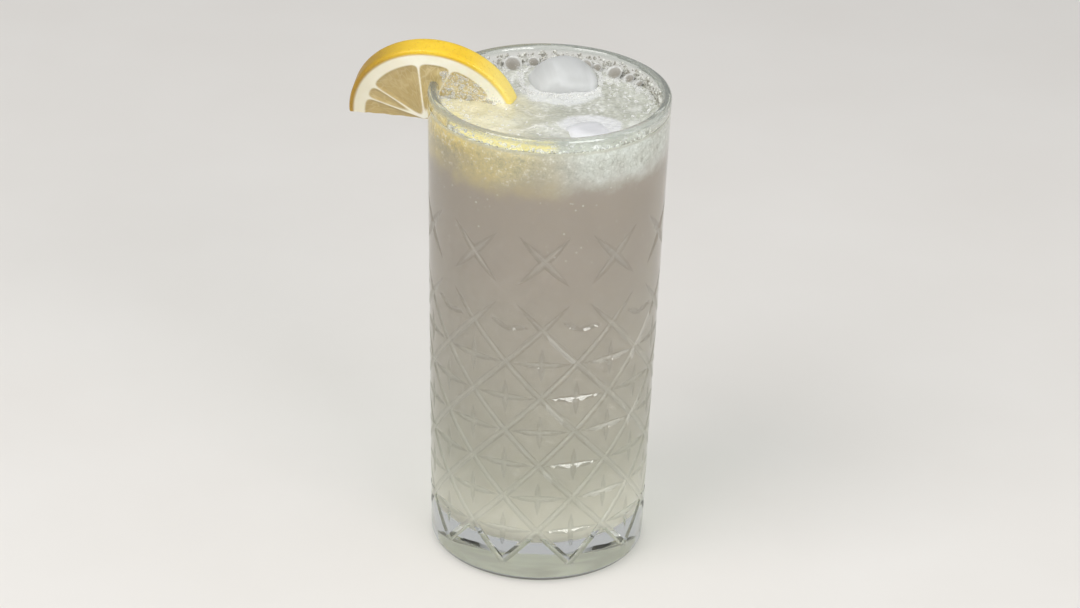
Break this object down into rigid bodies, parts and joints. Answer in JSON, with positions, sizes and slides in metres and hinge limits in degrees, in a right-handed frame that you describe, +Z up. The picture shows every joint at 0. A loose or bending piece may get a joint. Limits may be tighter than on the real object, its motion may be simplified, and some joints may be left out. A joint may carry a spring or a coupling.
{
  "type": "glass of lemonade",
  "caption": "Tall tumbler with a cut diamond pattern, filled with cloudy lemonade and ice, half a lemon slice on the rim.",
  "frame": {"origin": "centre of the glass's foot, on the surface it stands on", "axes": "+Z up along the glass's axis, -Y the shown front, -X the side with the lemon slice"},
  "size_m": [0.097, 0.073, 0.1646],
  "materials": {
    "glass": "clear pressed and cut glass",
    "lemonade": "cloudy pale liquid",
    "lemon": "moist yellow peel, white pith and pale pulp",
    "ice": "cloudy wet ice"
  },
  "bodies": {
    "root": {"glass": "glass", "lemonade": "lemonade", "lemon_slice": "lemon", "ice_back": "ice", "ice_front": "ice"}
  },
  "joints": []
}
